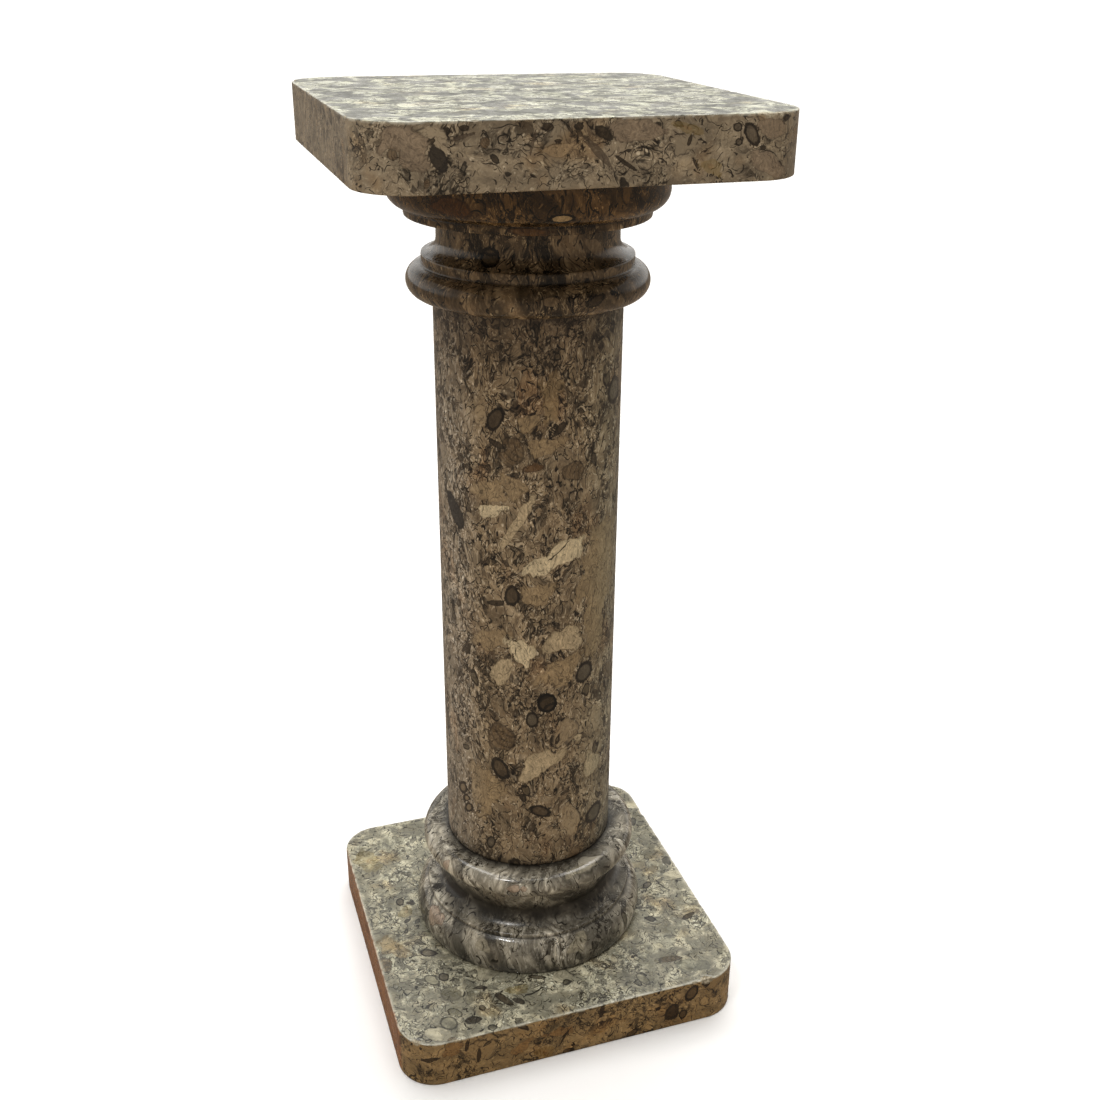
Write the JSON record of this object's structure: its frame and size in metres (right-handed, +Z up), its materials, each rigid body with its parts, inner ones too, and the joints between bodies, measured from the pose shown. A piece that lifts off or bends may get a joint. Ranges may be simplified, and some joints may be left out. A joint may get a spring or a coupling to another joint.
{
  "type": "marble pedestal",
  "caption": "Column pedestal of brown fossil marble: square rounded plinth, turned base, plain round shaft, turned capital and square top slab.",
  "frame": {"origin": "centre of the plinth's underside, on the floor", "axes": "+Z up along the shaft's axis, X and Y square to the sides of the slabs"},
  "size_m": [0.3, 0.3, 0.76],
  "materials": {
    "slab_marble": "worn polish, fossil marble in brown and grey-green",
    "turned_marble": "polished, dark grey-brown fossil marble with flowing bands",
    "shaft_marble": "soft polish, warm brown fossil marble"
  },
  "bodies": {
    "root": {"plinth": "slab_marble", "base": "turned_marble", "shaft": "shaft_marble", "capital": "turned_marble", "top_slab": "slab_marble"}
  },
  "joints": []
}
